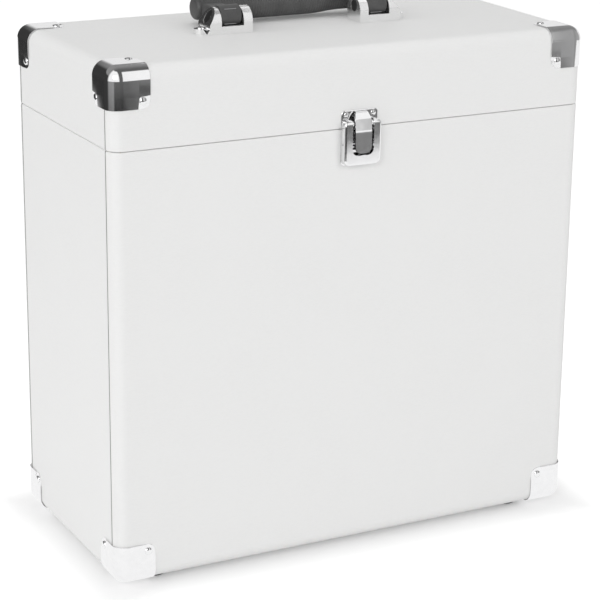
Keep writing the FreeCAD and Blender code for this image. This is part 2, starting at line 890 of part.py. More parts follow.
def build():
    lower_rivets = cap_rivets(-1, case_bottom)
    upper_rivets = cap_rivets(1, case_top)
    feet_screws = foot_screws()
    body_hinge_screws = hinge_screws(-1)
    lid_hinge_screws = hinge_screws(1)
    keeper = keeper_rivets()
    base = base_rivets()
    lugs = lug_screws()
    windows = window_rivets()
    body_sets = (lower_rivets, feet_screws, body_hinge_screws, base)
    lid_sets = (upper_rivets, lid_hinge_screws, keeper, lugs, windows)
    body_holes = [hole for group in body_sets for hole in group.holes]
    lid_holes = [hole for group in lid_sets for hole in group.holes]

    outer = rounded_case(0)
    boarded = planed_boards()
    skin = corners_off(outer.cut(boarded))
    boarded = corners_off(boarded)
    shell_boards("body", boarded, (-far, body_rim), (-far, inner_bottom), "bottom", body_holes)
    shell_boards("lid", boarded, (lid_rim, far), (inner_top, far), "top", lid_holes)
    shell_covers("body", skin, (-far, body_rim), body_holes)
    shell_covers("lid", skin, (lid_rim, far), lid_holes)
    save("body_lining", tray(lining, inner_bottom, parting - rim_depth))
    save("lid_lining", tray(lining, inner_top, lid_rim + rim_lip + overrun))
    rim_liner()
    feet(feet_screws.holes)
    corner_caps(outer, lower_rivets.holes, upper_rivets.holes)
    hinges(body_hinge_screws, lid_hinge_screws)
    latch_keeper(keeper.holes)
    latch_base(base.holes)
    latch_lever_pins()
    latch_lever()
    latch_link_pin()
    latch_hook()
    handle_brackets(lugs.holes + windows.holes)
    handle()
    lower_rivets.save("lower_corner_rivets")
    upper_rivets.save("upper_corner_rivets")
    feet_screws.save("foot_screws")
    body_hinge_screws.save("hinge_body_screws")
    lid_hinge_screws.save("hinge_lid_screws")
    keeper.save("latch_keeper_rivets")
    base.save("latch_base_rivets")
    lugs.save("handle_bracket_screws")
    windows.save("handle_bracket_rivets")


build()
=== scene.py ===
import math
import bmesh
import bpy
from mathutils import Matrix, Vector


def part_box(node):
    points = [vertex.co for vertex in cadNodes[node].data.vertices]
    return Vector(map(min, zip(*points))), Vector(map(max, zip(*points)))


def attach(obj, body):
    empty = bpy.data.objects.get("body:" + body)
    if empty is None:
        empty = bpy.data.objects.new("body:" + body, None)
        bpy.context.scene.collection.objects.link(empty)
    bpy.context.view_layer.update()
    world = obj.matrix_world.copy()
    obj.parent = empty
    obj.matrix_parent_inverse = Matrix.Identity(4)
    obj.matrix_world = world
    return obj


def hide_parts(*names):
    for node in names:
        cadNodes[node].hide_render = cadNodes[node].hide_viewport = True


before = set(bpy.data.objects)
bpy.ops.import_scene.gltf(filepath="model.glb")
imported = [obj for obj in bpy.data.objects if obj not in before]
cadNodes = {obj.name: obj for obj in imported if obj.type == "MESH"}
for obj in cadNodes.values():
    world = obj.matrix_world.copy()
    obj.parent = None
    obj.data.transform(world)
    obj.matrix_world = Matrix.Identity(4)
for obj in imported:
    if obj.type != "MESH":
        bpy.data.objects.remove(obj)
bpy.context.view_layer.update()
print("frame loaded,", len(cadNodes), "nodes")

# the case as the frame gives it, in metres: X to the right, Y to the back, Z up
wrapLow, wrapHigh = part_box("body_wrap_cover")
lidLow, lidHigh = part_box("lid_wrap_cover")
halfWidth = wrapHigh.x
halfDepth = -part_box("body_front_cover")[0].y
caseBottom = wrapLow.z
caseTop = lidHigh.z
bodyRim = wrapHigh.z
lidRim = lidLow.z
parting = (bodyRim + lidRim) / 2
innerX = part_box("body_bottom_board")[1].x
seamY = wrapHigh.y
caseMiddle = Vector((0, 0, (caseBottom + caseTop) / 2))
mm = 0.001
weldReach = 0.005 * mm  # points nearer than this become one


# Modelling helpers

def inMm(**sizes):  # sizes that are written in millimetres, in metres
    return {name: size * mm for name, size in sizes.items()}


def deselectAll():
    if bpy.context.object and bpy.context.object.mode != "OBJECT":
        bpy.ops.object.mode_set(mode="OBJECT")
    bpy.ops.object.select_all(action="DESELECT")


def named(piece, name):
    piece.name = name
    piece.data.name = name
    return piece


def begin(name, addPrimitive, **values):  # starts a piece from a primitive
    deselectAll()
    addPrimitive(**values)
    return named(bpy.context.object, name)


def takeUp(piece):  # makes the piece the only one that is worked on
    deselectAll()
    piece.select_set(True)
    bpy.context.view_layer.objects.active = piece


def settle(piece):  # puts the piece's place in its mesh
    takeUp(piece)
    bpy.ops.object.transform_apply(location=True, rotation=True, scale=True)


def edit():
    bpy.ops.object.mode_set(mode="EDIT")


def leaveEdit():
    bpy.ops.object.mode_set(mode="OBJECT")


def along(axis, length=1):  # a step along one axis
    return Vector([length if i == axis else 0 for i in range(3)])


def near(a, b, reach=0.02 * mm):
    return abs(a - b) < reach


def allAt(item, axis, level):  # whether a point, edge or face lies at a level on an axis
    return all(near(point.co[axis], level) for point in getattr(item, "verts", [item]))


def onTwoOf(place, item):  # whether it lies in exactly two of the planes through a place
    return sum(allAt(item, axis, place[axis]) for axis in range(3)) == 2


def chooseAll():
    bpy.ops.mesh.select_all(action="SELECT")


def choose(kind, test):  # selects in edit mode the points, edges or faces that pass the test
    bpy.ops.mesh.select_mode(type=kind)
    bpy.ops.mesh.select_all(action="DESELECT")
    mesh = bmesh.from_edit_mesh(bpy.context.object.data)
    found = {"VERT": mesh.verts, "EDGE": mesh.edges, "FACE": mesh.faces}[kind]
    for item in found:
        if test(item):
            item.select_set(True)
    mesh.select_flush_mode()
    bmesh.update_edit_mesh(bpy.context.object.data)


def chooseAt(kind, axis, level):
    choose(kind, lambda item: allAt(item, axis, level))


def extrudeBy(move):
    bpy.ops.mesh.extrude_region_move(TRANSFORM_OT_translate={"value": move})


def roundOff(radius, segments, affect="EDGES"):  # rounds what is chosen
    bpy.ops.mesh.bevel(offset=radius, segments=segments, affect=affect)


def bisectAt(place, normal, **clear):
    chooseAll()
    bpy.ops.mesh.bisect(plane_co=place, plane_no=normal, threshold=0.001 * mm, **clear)


def cutAcross(axis, level, **clear):
    bisectAt(along(axis, level), along(axis), **clear)


def applyModifier(piece, kind, **values):
    takeUp(piece)
    modifier = piece.modifiers.new(kind.title(), kind)
    for key, value in values.items():
        setattr(modifier, key, value)
    bpy.ops.object.modifier_apply(modifier=modifier.name)


def thicken(piece, thickness):  # gives a sheet its thickness, inwards
    applyModifier(piece, "SOLIDIFY", thickness=thickness, offset=-1)


def softenEdges(piece, width, segments=2, angle=40):
    applyModifier(
        piece, "BEVEL", width=width, segments=segments, limit_method="ANGLE",
        angle_limit=math.radians(angle), harden_normals=False,
    )


def carve(piece, cutter, operation="DIFFERENCE"):
    applyModifier(piece, "BOOLEAN", object=cutter, operation=operation, solver="EXACT")
    bpy.data.objects.remove(cutter)


def copied(piece, name):  # a copy with its own mesh
    twin = piece.copy()
    twin.data = piece.data.copy()
    bpy.context.scene.collection.objects.link(twin)
    return named(twin, name)


def mirroredTwin(piece):  # a copy on the other side of the middle plane
    twin = copied(piece, "leftTwin")
    twin.data.transform(Matrix.Scale(-1, 4, (1, 0, 0)))
    twin.data.flip_normals()
    return twin


def uniteBoth(piece, part):  # adds a part and its mirror image
    carve(piece, mirroredTwin(part), "UNION")
    carve(piece, part, "UNION")


def joinPieces(pieces, name):
    deselectAll()
    for piece in pieces:
        piece.select_set(True)
    bpy.context.view_layer.objects.active = pieces[0]
    bpy.ops.object.join()
    return named(bpy.context.object, name)


def outward(piece):  # welds the piece and turns its faces outward
    takeUp(piece)
    edit()
    chooseAll()
    bpy.ops.mesh.remove_doubles(threshold=weldReach)
    bpy.ops.mesh.normals_make_consistent(inside=False)
    leaveEdit()


def boxSized(name, low, high):
    low, high = Vector(low), Vector(high)
    piece = begin(
        name, bpy.ops.mesh.primitive_cube_add, size=1,
        location=(low + high) / 2, scale=high - low,
    )
    settle(piece)
    return piece


def drawn(name, points):  # draws a line through the points and stays in edit mode
    piece = begin(name, bpy.ops.mesh.primitive_plane_add, size=mm)
    edit()
    bpy.ops.mesh.select_mode(type="VERT")
    chooseAll()
    bpy.ops.mesh.merge(type="CENTER")
    bpy.ops.transform.translate(value=points[0])
    for start, end in zip(points, points[1:]):
        extrudeBy(Vector(end) - Vector(start))
    chooseAll()
    return piece


def turned(name, profile, steps):  # a turned piece about Z from (radius, height) points
    piece = drawn(name, [(radius, 0, height) for radius, height in profile])
    bpy.ops.mesh.spin(steps=steps, angle=2 * math.pi, center=(0, 0, 0), axis=(0, 0, 1))
    leaveEdit()
    outward(piece)
    return piece


def profiled(name, points, low, high):  # a prism across X from (Y, Z) points
    piece = drawn(name, [(low, *point) for point in points + points[:1]])
    bpy.ops.mesh.remove_doubles(threshold=weldReach)
    bpy.ops.mesh.edge_face_add()
    extrudeBy((high - low, 0, 0))
    leaveEdit()
    outward(piece)
    return piece


def arc(place, radius, start, end, steps):  # points about a centre, angles in degrees
    turns = [math.radians(start + (end - start) * i / steps) for i in range(steps + 1)]
    return [(place[0] + radius * math.cos(t), place[1] + radius * math.sin(t)) for t in turns]


def frontPlate(name, low, high, topRadius, footRadius, edgeRound):  # rounded corners and front edges
    plate = boxSized(name, low, high)
    edit()
    for radius, level in ((topRadius, high[2]), (footRadius, low[2])):
        if radius:
            choose(
                "EDGE",
                lambda edge: allAt(edge, 2, level) and near(edge.verts[0].co.x, edge.verts[1].co.x),
            )
            roundOff(radius, 6)
    if edgeRound:
        chooseAt("EDGE", 1, low[1])
        roundOff(edgeRound, 4)
    leaveEdit()
    return plate


def crossRod(name, radius, place, low, high, steps):  # a rod along X
    rod = begin(
        name, bpy.ops.mesh.primitive_cylinder_add, vertices=steps, radius=radius, depth=high - low,
        location=((low + high) / 2, *place), rotation=(0, math.pi / 2, 0),
    )
    settle(rod)
    return rod


def bore(piece, radius, place, low, high, steps):
    carve(piece, crossRod("bore", radius, place, low, high, steps))


def standing(piece, tip, direction):  # moves a piece made about Z so that its Z = 0 lies at tip
    turn = Vector((0, 0, 1)).rotation_difference(Vector(direction))
    piece.data.transform(Matrix.Translation(Vector(tip)) @ turn.to_matrix().to_4x4())
    return piece


def dress(piece, finish, body, *replaced, slotName=None, smooth=35):
    settle(piece)
    bpy.ops.object.shade_smooth_by_angle(angle=math.radians(smooth))
    applyModifier(piece, "WEIGHTED_NORMAL", weight=80, keep_sharp=True)
    piece.data.materials.clear()
    piece.data.materials.append(finishes[finish])
    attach(piece, body)
    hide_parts(*replaced)


# Shader helpers

def feed(tree, socket, value):  # links an output to a socket or sets a plain value
    if hasattr(value, "is_output"):
        tree.links.new(value, socket)
    else:
        socket.default_value = value


def feedAll(tree, node, **given):  # feeds a node's inputs by their names
    for label, value in given.items():
        feed(tree, node.inputs[label.replace("_", " ")], value)
    return node


def addNode(tree, kind, **given):
    return feedAll(tree, tree.nodes.new("ShaderNode" + kind), **given)


def mathNode(tree, operation, first, second=0):
    node = addNode(tree, "Math")
    node.operation = operation
    feed(tree, node.inputs[0], first)
    feed(tree, node.inputs[1], second)
    return node.outputs[0]


def added(tree, first, second):
    return mathNode(tree, "ADD", first, second)


def product(tree, first, second):
    return mathNode(tree, "MULTIPLY", first, second)


def oneMinus(tree, value):
    return mathNode(tree, "SUBTRACT", 1, value)


def distance(tree, value, place=0):  # how far a value lies from a place, to either side
    return mathNode(tree, "ABSOLUTE", mathNode(tree, "SUBTRACT", value, place) if place else value)


def ranged(tree, value, low, high):
    return addNode(tree, "MapRange", Value=value, To_Min=low, To_Max=high).outputs["Result"]


def smoothStep(tree, value, low, high):
    node = addNode(tree, "MapRange", Value=value, From_Min=low, From_Max=high)
    node.interpolation_type = "SMOOTHSTEP"
    return node.outputs["Result"]


def between(tree, value, rise, fall):  # 1 from the end of the rise to the start of the fall
    return product(tree, smoothStep(tree, value, *rise), oneMinus(tree, smoothStep(tree, value, *fall)))


mixSockets = {"FLOAT": (0, 2, 3, 0), "RGBA": (0, 6, 7, 2)}  # share, first, second and result


def mixed(tree, share, first, second, kind="FLOAT"):
    node = addNode(tree, "Mix")
    node.data_type = kind
    *given, result = mixSockets[kind]
    for index, value in zip(given, (share, first, second)):
        feed(tree, node.inputs[index], value)
    return node.outputs[result]


def placeParts(tree, kind="Object"):  # X, Y and Z of a texture coordinate
    place = addNode(tree, "TexCoord").outputs[kind]
    return addNode(tree, "SeparateXYZ", Vector=place).outputs


def stretchedNoise():  # noise with a scale of its own on each axis
    group = bpy.data.node_groups.new("stretchedNoise", "ShaderNodeTree")
    for label, kind, value in (
        ("Stretch", "Vector", (1, 1, 1)), ("Scale", "Float", 100), ("Detail", "Float", 2)
    ):
        socket = group.interface.new_socket(name=label, in_out="INPUT", socket_type="NodeSocket" + kind)
        socket.default_value = value
    group.interface.new_socket(name="Value", in_out="OUTPUT", socket_type="NodeSocketFloat")
    given = group.nodes.new("NodeGroupInput").outputs
    result = group.nodes.new("NodeGroupOutput")
    place = addNode(group, "TexCoord").outputs["Object"]
    mapping = addNode(group, "Mapping", Vector=place, Scale=given["Stretch"])
    noise = addNode(
        group, "TexNoise", Vector=mapping.outputs["Vector"], Scale=given["Scale"], Detail=given["Detail"]
    )
    feedAll(group, result, Value=noise.outputs["Fac"])
    return group


noiseGroup = stretchedNoise()


def addNoise(tree, scale, detail, stretch=(1, 1, 1)):
    node = addNode(tree, "Group")
    node.node_tree = noiseGroup
    return feedAll(tree, node, Stretch=stretch, Scale=scale, Detail=detail).outputs["Value"]


def tinted(tree, value, darkColour, lightColour):
    ramp = addNode(tree, "ValToRGB", Fac=value)
    ends = ((0.3, darkColour), (0.7, lightColour))  # the noise seldom leaves this range
    for element, (place, colour) in zip(ramp.color_ramp.elements, ends):
        element.position = place
        element.color = (*colour, 1)
    return ramp.outputs["Color"]


def shaded(tree, value, stops):  # brightness that follows a value between -1 and 1
    ramp = addNode(tree, "ValToRGB", Fac=added(tree, product(tree, value, 0.5), 0.5))
    elements = ramp.color_ramp.elements
    for place, level in stops[1:-1]:
        elements.new((place + 1) / 2)
    for element, (place, level) in zip(elements, stops):
        element.position = (place + 1) / 2
        element.color = (level, level, level, 1)
    return ramp.outputs["Color"]


def bumped(tree, height, strength, depth):
    return addNode(tree, "Bump", Height=height, Strength=strength, Distance=depth).outputs["Normal"]


def newMaterial(name, **values):
    material = bpy.data.materials.new(name)
    material.use_nodes = True
    tree = material.node_tree
    return material, tree, feedAll(tree, tree.nodes["Principled BSDF"], **values)


def giveLook(tree, shader, look, colourBy, roughBy, reliefBy):
    colour = tinted(tree, colourBy, look["dark"], look["light"])
    rough = ranged(tree, roughBy, *look["roughness"])
    relief = bumped(tree, reliefBy, *look["bump"])
    feedAll(tree, shader, Base_Color=colour, Roughness=rough, Normal=relief)
    return colour


# Materials: a noise is its scale and detail and how it is stretched, a bump its strength and depth

def grey(level):
    return (level, level, level)


leatherLook = {
    "dark": (0.855, 0.855, 0.85), "light": (0.885, 0.885, 0.88), "roughness": (0.48, 0.6),
    "grain": (900, 3, (0.35, 0.35, 1.6)), "pebbleScale": 1400, "pebbleHeight": 0.4,
    "blotch": (14, 2), "blotchShare": 0.3, "grainShare": 0.7, "bump": (0.35, 0.06 * mm),
    # seam: the colour of the painted shade in the upright seams, and how far from a seam it fades
    "seam": (0.26, 0.26, 0.255), "seamShadeHalf": (0.45 * mm, 0.85 * mm),
}


def paintedSeamShade(tree):  # 1 along the sides' upright seams, where a painted shade darkens the colour as the shadow in the seam's groove
    x, y, z = placeParts(tree)
    off = distance(tree, distance(tree, y), seamY)
    beside = oneMinus(tree, smoothStep(tree, off, *leatherLook["seamShadeHalf"]))
    return product(tree, beside, smoothStep(tree, distance(tree, x), innerX, halfWidth))


def leatherMaterial():
    look = leatherLook
    material, tree, shader = newMaterial("leathercloth", IOR=1.46)
    grain = addNoise(tree, *look["grain"])
    blotch = addNoise(tree, *look["blotch"])
    place = addNode(tree, "TexCoord").outputs["Object"]
    pebble = addNode(tree, "TexVoronoi", Vector=place, Scale=look["pebbleScale"])
    relief = added(tree, grain, product(tree, pebble.outputs["Distance"], look["pebbleHeight"]))
    soft = product(tree, blotch, look["blotchShare"])
    tone = added(tree, product(tree, relief, look["grainShare"]), soft)
    colour = giveLook(tree, shader, look, tone, grain, relief)
    # painted shade: the leathercloth darkens along the seams as if in their shadow
    seamShaded = mixed(tree, paintedSeamShade(tree), colour, (*look["seam"], 1), "RGBA")
    feedAll(tree, shader, Base_Color=seamShaded)
    return material


chromeLook = {
    "dark": (0.88, 0.88, 0.885), "light": (0.91, 0.91, 0.915), "roughness": (0.05, 0.11),
    "smear": (220, 3), "wave": (160, 1), "bump": (0.25, 0.03 * mm),
}
bracketLook = {
    **chromeLook, "dark": grey(0.93), "light": grey(0.96), "roughness": (0.17, 0.26),
    "bump": (0.25, 0.05 * mm),
}


def chromeMaterial(name, look):
    material, tree, shader = newMaterial(name, Metallic=1.0)
    smear = addNoise(tree, *look["smear"])
    wave = addNoise(tree, *look["wave"])
    giveLook(tree, shader, look, smear, smear, wave)
    return material


grainLooks = {
    "board_wood": {
        "name": "boardWood", "dark": (0.42, 0.28, 0.16), "light": (0.66, 0.5, 0.33),
        "roughness": (0.6, 0.8), "bump": (0.3, 0.1 * mm),
        "grain": (260, 4, (0.15, 1, 1)), "patch": (500, 1, (0.05, 0.05, 1)),
    },
    "lining_paper": {
        "name": "flockLining", "dark": (0.11, 0.11, 0.118), "light": (0.17, 0.17, 0.178),
        "roughness": (0.85, 0.95), "bump": (0.4, 0.25 * mm), "grain": (1500, 3), "patch": (125, 2),
    },
    "rim_strip": {
        "name": "rimStrip", "dark": grey(0.07), "light": grey(0.12),
        "roughness": (0.55, 0.7), "bump": (0.4, 0.1 * mm), "grain": (500, 3), "patch": (500 / 12, 2),
    },
    "foot_rubber": {
        "name": "footRubber", "dark": grey(0.022), "light": grey(0.038),
        "roughness": (0.6, 0.75), "bump": (0.4, 0.08 * mm), "grain": (900, 3), "patch": (75, 2),
    },
    "nickelled_steel": {
        "name": "nickelledSteel", "dark": (0.58, 0.57, 0.55), "light": (0.72, 0.71, 0.69),
        "metallic": 1.0, "roughness": (0.22, 0.34), "bump": (0.15, 0.02 * mm),
        "grain": (900, 3, (0.2, 1, 1)), "patch": (60, 2),
    },
    "plain_steel": {
        "name": "plainSteel", "dark": (0.45, 0.45, 0.46), "light": (0.6, 0.6, 0.61),
        "metallic": 1.0, "roughness": (0.25, 0.4), "bump": (0.15, 0.02 * mm),
        "grain": (900, 3, (1, 0.2, 1)), "patch": (60, 2),
    },
    "grip_black": {
        "name": "gripBlack", "dark": grey(0.06), "light": grey(0.095),
        "roughness": (0.36, 0.5), "bump": (0.4, 0.06 * mm), "grain": (1200, 3), "patch": (100, 2),
    },
    "pin_black": {
        "name": "pinBlack", "dark": grey(0.008), "light": grey(0.016),
        "roughness": (0.4, 0.55), "bump": (0.4, 0.02 * mm), "grain": (500, 3), "patch": (500 / 12, 2),
    },
}


def grainedMaterial(look):  # a fine grain over broad patches
    material, tree, shader = newMaterial(look["name"], Metallic=look.get("metallic", 0.0))
    grain = addNoise(tree, *look["grain"])
    patch = addNoise(tree, *look["patch"])
    tone = product(tree, added(tree, grain, patch), 0.5)
    rough = grain if look["name"] == "boardWood" else tone
    giveLook(tree, shader, look, tone, rough, grain)
    return material


finishes = {
    "leathercloth": leatherMaterial(),
    "chrome_plate": chromeMaterial("chromePlate", chromeLook),
    "satin_plate": chromeMaterial("satinPlate", bracketLook),
}
for finish, look in grainLooks.items():
    finishes[finish] = grainedMaterial(look)

nodeFinishes = {
    "leathercloth": ("_cover",),
    "board_wood": ("_board",),
    "lining_paper": ("_lining",),
    "rim_strip": ("rim_liner",),
    "foot_rubber": ("feet",),
    "chrome_plate": ("_caps", "corner_rivets", "latch_", "handle_bracket"),
    "nickelled_steel": ("hinge_leaf", "hinge_body_screws", "hinge_lid_screws"),
    "plain_steel": ("foot_screws", "hinge_pins", "handle_core"),
    "grip_black": ("handle_grip",),
    "pin_black": ("handle_pivot_pins",),
}

for finish, marks in nodeFinishes.items():
    for nodeName, node in cadNodes.items():
        if any(mark in nodeName for mark in marks):
            node.data.materials.clear()
            node.data.materials.append(finishes[finish])
print("materials made and given to the frame's nodes")


# Covering

covering = inMm(
    edgeRadius=9, thickness=0.6, rimRadius=0.9, rimLift=0.12, seamGap=0.5, seamEnd=14
)


def coveringShell(name, rim, below):  # the rounded skin on one side of the parting line
    shell = boxSized(
        name, (-halfWidth, -halfDepth, caseBottom), (halfWidth, halfDepth, caseTop)
    )
    edit()
    chooseAll()
    roundOff(covering["edgeRadius"], 8)
    cutAcross(2, rim, clear_outer=below, clear_inner=not below)
    turnInRim(rim)
    leaveEdit()
    return shell


def turnInRim(rim):  # the sheet turns over the board's edge and goes inside
    chooseAt("EDGE", 2, rim)
    extrudeBy((0, 0, 0))
    share = (innerX / halfWidth, seamY / halfDepth, 1)
    bpy.ops.transform.resize(value=share, center_override=(0, 0, rim))
    choose(
        "EDGE",
        lambda edge: allAt(edge, 2, rim) and not edge.is_boundary and any(
            abs(face.normal.z) < 0.5 for face in edge.link_faces
        ),
    )
    roundOff(covering["rimRadius"], 3)


def cutSheet(shell, name, sheet, below):
    piece = copied(shell, name + "_" + sheet + "_covering")
    takeUp(piece)
    edit()
    if sheet == "front":
        cutAcross(1, -seamY, clear_outer=True)
    elif sheet == "back":
        cutAcross(1, seamY, clear_inner=True)
    else:
        cutAcross(1, -seamY, clear_inner=True)
        cutAcross(1, seamY, clear_outer=True)
        openSeams(below)
    chooseAll()
    bpy.ops.mesh.delete_loose()
    leaveEdit()
    thicken(piece, covering["thickness"])
    dress(piece, "leathercloth", "case" if below else "lid", name + "_" + sheet + "_cover")


def openSeams(below):  # takes a narrow strip off the wrap where it meets the front and back sheet
    slot = seamY - covering["seamGap"]
    cutAcross(1, slot)
    cutAcross(1, -slot)
    low = caseBottom + covering["seamEnd"]
    high = caseTop - covering["seamEnd"]
    cutAcross(2, low if below else high)
    choose(
        "FACE",
        lambda face: abs(face.normal.x) > 0.9 and abs(face.calc_center_median().y) > slot
        and low < face.calc_center_median().z < high,
    )
    bpy.ops.mesh.delete(type="FACE")


def makeCovering():
    for name, rim, below in (
        ("body", bodyRim + covering["rimLift"], True), ("lid", lidRim - covering["rimLift"], False)
    ):
        shell = coveringShell(name + "_shell", rim, below)
        for sheet in ("front", "back", "wrap"):
            cutSheet(shell, name, sheet, below)
        bpy.data.objects.remove(shell)
    print("covering made")


makeCovering()


# Rivets and screws, modelled about Z

domeTurns = (25, 45, 65, 80)  # degrees up the dome where its rings lie
headSteps = 20


def rivetModel(size, name="rivetModel"):
    radius, dome, rim = size["radius"], size["dome"], size["rim"]
    profile = [(0, -0.5 * rim), (radius, -0.5 * rim), (radius, rim)]
    for turn in domeTurns:
        angle = math.radians(turn)
        profile.append((radius * math.cos(angle), rim + (dome - rim) * math.sin(angle)))
    return turned(name, profile + [(0, dome)], headSteps)


def screwModel(size):  # a low head with a cross recess
    screw = rivetModel(size, "screwModel")
    reach, wide, deep = size["driveReach"], size["driveWidth"], size["driveDepth"]
    for x, y in ((reach, wide), (wide, reach)):
        carve(screw, boxSized("driveSlot", (-x, -y, size["dome"] - deep), (x, y, 2 * size["dome"])))
    softenEdges(screw, 0.06 * mm, 1, 50)
    return screw


def fasten(name, model, tips, direction, finish, body, node):  # one set of rivets or screws
    twins = [standing(copied(model, "fastener"), tip, direction) for tip in tips]
    bpy.data.objects.remove(model)
    dress(joinPieces(twins, name), finish, body, node)


# Corner caps and their rivets

capSizes = inMm(
    leg=28, stand=1, lobeRadius=6, sheet=0.6, soft=0.18, rivetEdge=5.3,
    pad=9, padStep=0.7, padDepth=0.15, padBlunt=0.9, slack=0.1, rise=0.3,
)
padTilt = math.radians(2.2)
capRivet = inMm(radius=2.7, dome=1.3, rim=0.25, seat=0.6)


def lowerLeftCap():  # the cap of the lower front left corner, as one pressed sheet
    size = capSizes
    corner = Vector((-halfWidth, -halfDepth, caseBottom))
    outside = corner - Vector((1, 1, 1)) * size["stand"]
    far = corner + Vector((1, 1, 1)) * size["leg"]
    cap = boxSized("capModel", outside, far)
    edit()
    for axis in range(3):
        chooseAt("FACE", axis, far[axis])
        bpy.ops.mesh.delete(type="FACE")
    choose("VERT", lambda point: onTwoOf(far, point))
    roundOff(size["lobeRadius"], 8, "VERTICES")
    choose("EDGE", lambda edge: onTwoOf(outside, edge))
    roundOff(covering["edgeRadius"] + size["stand"], 12)
    pressPads(corner, outside)
    leaveEdit()
    thicken(cap, size["sheet"])
    softenEdges(cap, size["soft"], 2, 50)
    return cap


def pressPads(corner, outside):  # a sunk pad at the end of each lobe, where the rivet sits
    size = capSizes
    start = size["leg"] - size["pad"]
    for axis in range(3):
        for reach in (start, start + size["padStep"]):
            cutAcross(axis, corner[axis] + reach)
    edge = start + size["padStep"] - 0.01 * mm
    low, high = start - size["slack"], edge + size["slack"]
    for axis in range(3):
        others = [i for i in range(3) if i != axis]
        choose(
            "VERT",
            lambda point: near(point.co[axis], outside[axis])
            and all(point.co[i] - corner[i] > edge for i in others),
        )
        bpy.ops.transform.translate(value=along(axis, size["padDepth"]))
        inner = [place + start for place in corner]  # the pad's end that is nearest to the case's corner
        inner[axis] = outside[axis] + size["padDepth"]
        for about in others:  # the rivet draws the pad's far end down
            sign = -1 if (about - axis) % 3 == 1 else 1
            bpy.ops.transform.rotate(
                value=sign * padTilt, orient_axis="XYZ"[about], center_override=inner
            )
        choose(
            "VERT",
            lambda point: abs(point.co[axis] - outside[axis]) < size["rise"]
            and all(low < point.co[i] - corner[i] < high for i in others),
        )
        bpy.ops.transform.translate(value=[0 if i == axis else size["padBlunt"] for i in range(3)])


def mirroredToCorner(piece, side, face, end):  # makes the lower left cap that of another corner
    for axis, turn in enumerate((side, face, end)):
        if turn > 0:
            flip = Matrix.Scale(-1, 4, along(axis))
            move = Matrix.Translation(caseMiddle)
            piece.data.transform(move @ flip @ move.inverted())
    if side * face * end > 0:
        piece.data.flip_normals()


def makeCaps():
    cap = lowerLeftCap()
    rivet = rivetModel(capRivet)
    inset = capSizes["leg"] - capSizes["rivetEdge"]
    seat = capRivet["seat"]
    for end, place, level, body in (
        (-1, "lower", caseBottom, "case"), (1, "upper", caseTop, "lid")
    ):
        caps, rivets = [], []
        for face in (-1, 1):
            for side in (-1, 1):
                twin = copied(cap, "cap")
                mirroredToCorner(twin, side, face, end)
                caps.append(twin)
                x, y = side * (halfWidth - inset), face * (halfDepth - inset)
                z = level - end * inset
                for tip, direction in (
                    ((side * (halfWidth + seat), y, z), (side, 0, 0)),
                    ((x, face * (halfDepth + seat), z), (0, face, 0)),
                    ((x, y, level + end * seat), (0, 0, end)),
                ):
                    rivets.append(standing(copied(rivet, "rivet"), tip, direction))
        capSet = joinPieces(caps, place + "_cap_set")
        dress(capSet, "chrome_plate", body, place + "_corner_caps")
        rivetSet = joinPieces(rivets, place + "_cap_rivet_set")
        dress(rivetSet, "chrome_plate", body, place + "_corner_rivets")
    bpy.data.objects.remove(cap)
    bpy.data.objects.remove(rivet)
    print("corner caps made")


makeCaps()


# Latch: a pair is (out, up) in millimetres, forward from the case front and up from the parting
# line. The rivets' pairs are (across, up), and the ear's nose has two angles in degrees.

latchSizes = {
    **inMm(
        plate=1, plateRim=0.75, plateCorner=3, keeperFoot=0.6, catchHalf=4.2, keeperSoft=0.2,
        leverSheet=1, leverRim=1.5, leverTop=4, leverFoot=4.5, leverSoft=0.22, baseSoft=0.15,
        slotHalf=8.3, slotDrop=18.2, slotCorner=4.6, earSheet=1.1, earGap=0.2,
        pinRadius=1.1, pinSoft=0.15, linkPinRadius=0.8, linkPinSoft=0.12,
    ),
    "catch": [(0, 10.4), (2.4, 10.4), (3.5, 6.2), (3.5, 4.4), (0.8, 2.0), (0, 2.0)],
    "pivot": (4.0, 3.8), "pivotRound": 2.7, "linkPin": (3.7, -10.1),
    "earRound": 1.8, "earNose": (-50, 90), "earFoot": (1, -6), "earBack": (1.4, -0.6),
    "keeperRivets": [(-10.3, 9.8), (10.3, 9.8)], "baseRivets": [(0, -6.5), (0, -20.8)],
}
linkSizes = {
    **inMm(
        sheet=1.1, shoulderHalf=5.7, topHalf=4.5, footCorner=4.4, lug=1.4, boreGap=0.05, soft=0.25
    ),
    "foot": (7.4, -16.6), "crease": (7.2, -1.5), "taper": 5.5, "shoulder": (6.0, 8.2),
    "top": (3.7, 11.8), "lip": 1.5, "eye": 1.6, "lugSink": 0.6,
    "folds": inMm(crease=1.2, shoulder=1.2, top=0.9),
}
pastLatch = {**inMm(half=20, front=-120), "low": -40}  # where the cutters end; low is an up value
latchRivet = inMm(radius=2, dome=0.8, rim=0.15)
plateFront = -halfDepth - latchSizes["plate"]
keeperLow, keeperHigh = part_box("latch_keeper")
baseLow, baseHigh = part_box("latch_base")
leverLow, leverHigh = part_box("latch_lever")
hookLow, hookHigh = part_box("latch_hook")


def onFront(point):  # the (Y, Z) place of an (out, up) point
    return (-halfDepth - point[0] * mm, parting + point[1] * mm)


def outlined(name, points, low, high):
    return profiled(name, [onFront(point) for point in points], low, high)


def keeperPlate():
    size = latchSizes
    plate = frontPlate(
        "latch_keeper_plate", (keeperLow.x, plateFront, parting + size["keeperFoot"]),
        (keeperHigh.x, -halfDepth, keeperHigh.z), size["plateCorner"], 0, size["plateRim"],
    )
    catch = outlined("catch", size["catch"], -size["catchHalf"], size["catchHalf"])
    carve(plate, catch, "UNION")
    softenEdges(plate, size["keeperSoft"])
    dress(plate, "chrome_plate", "lid", "latch_keeper")


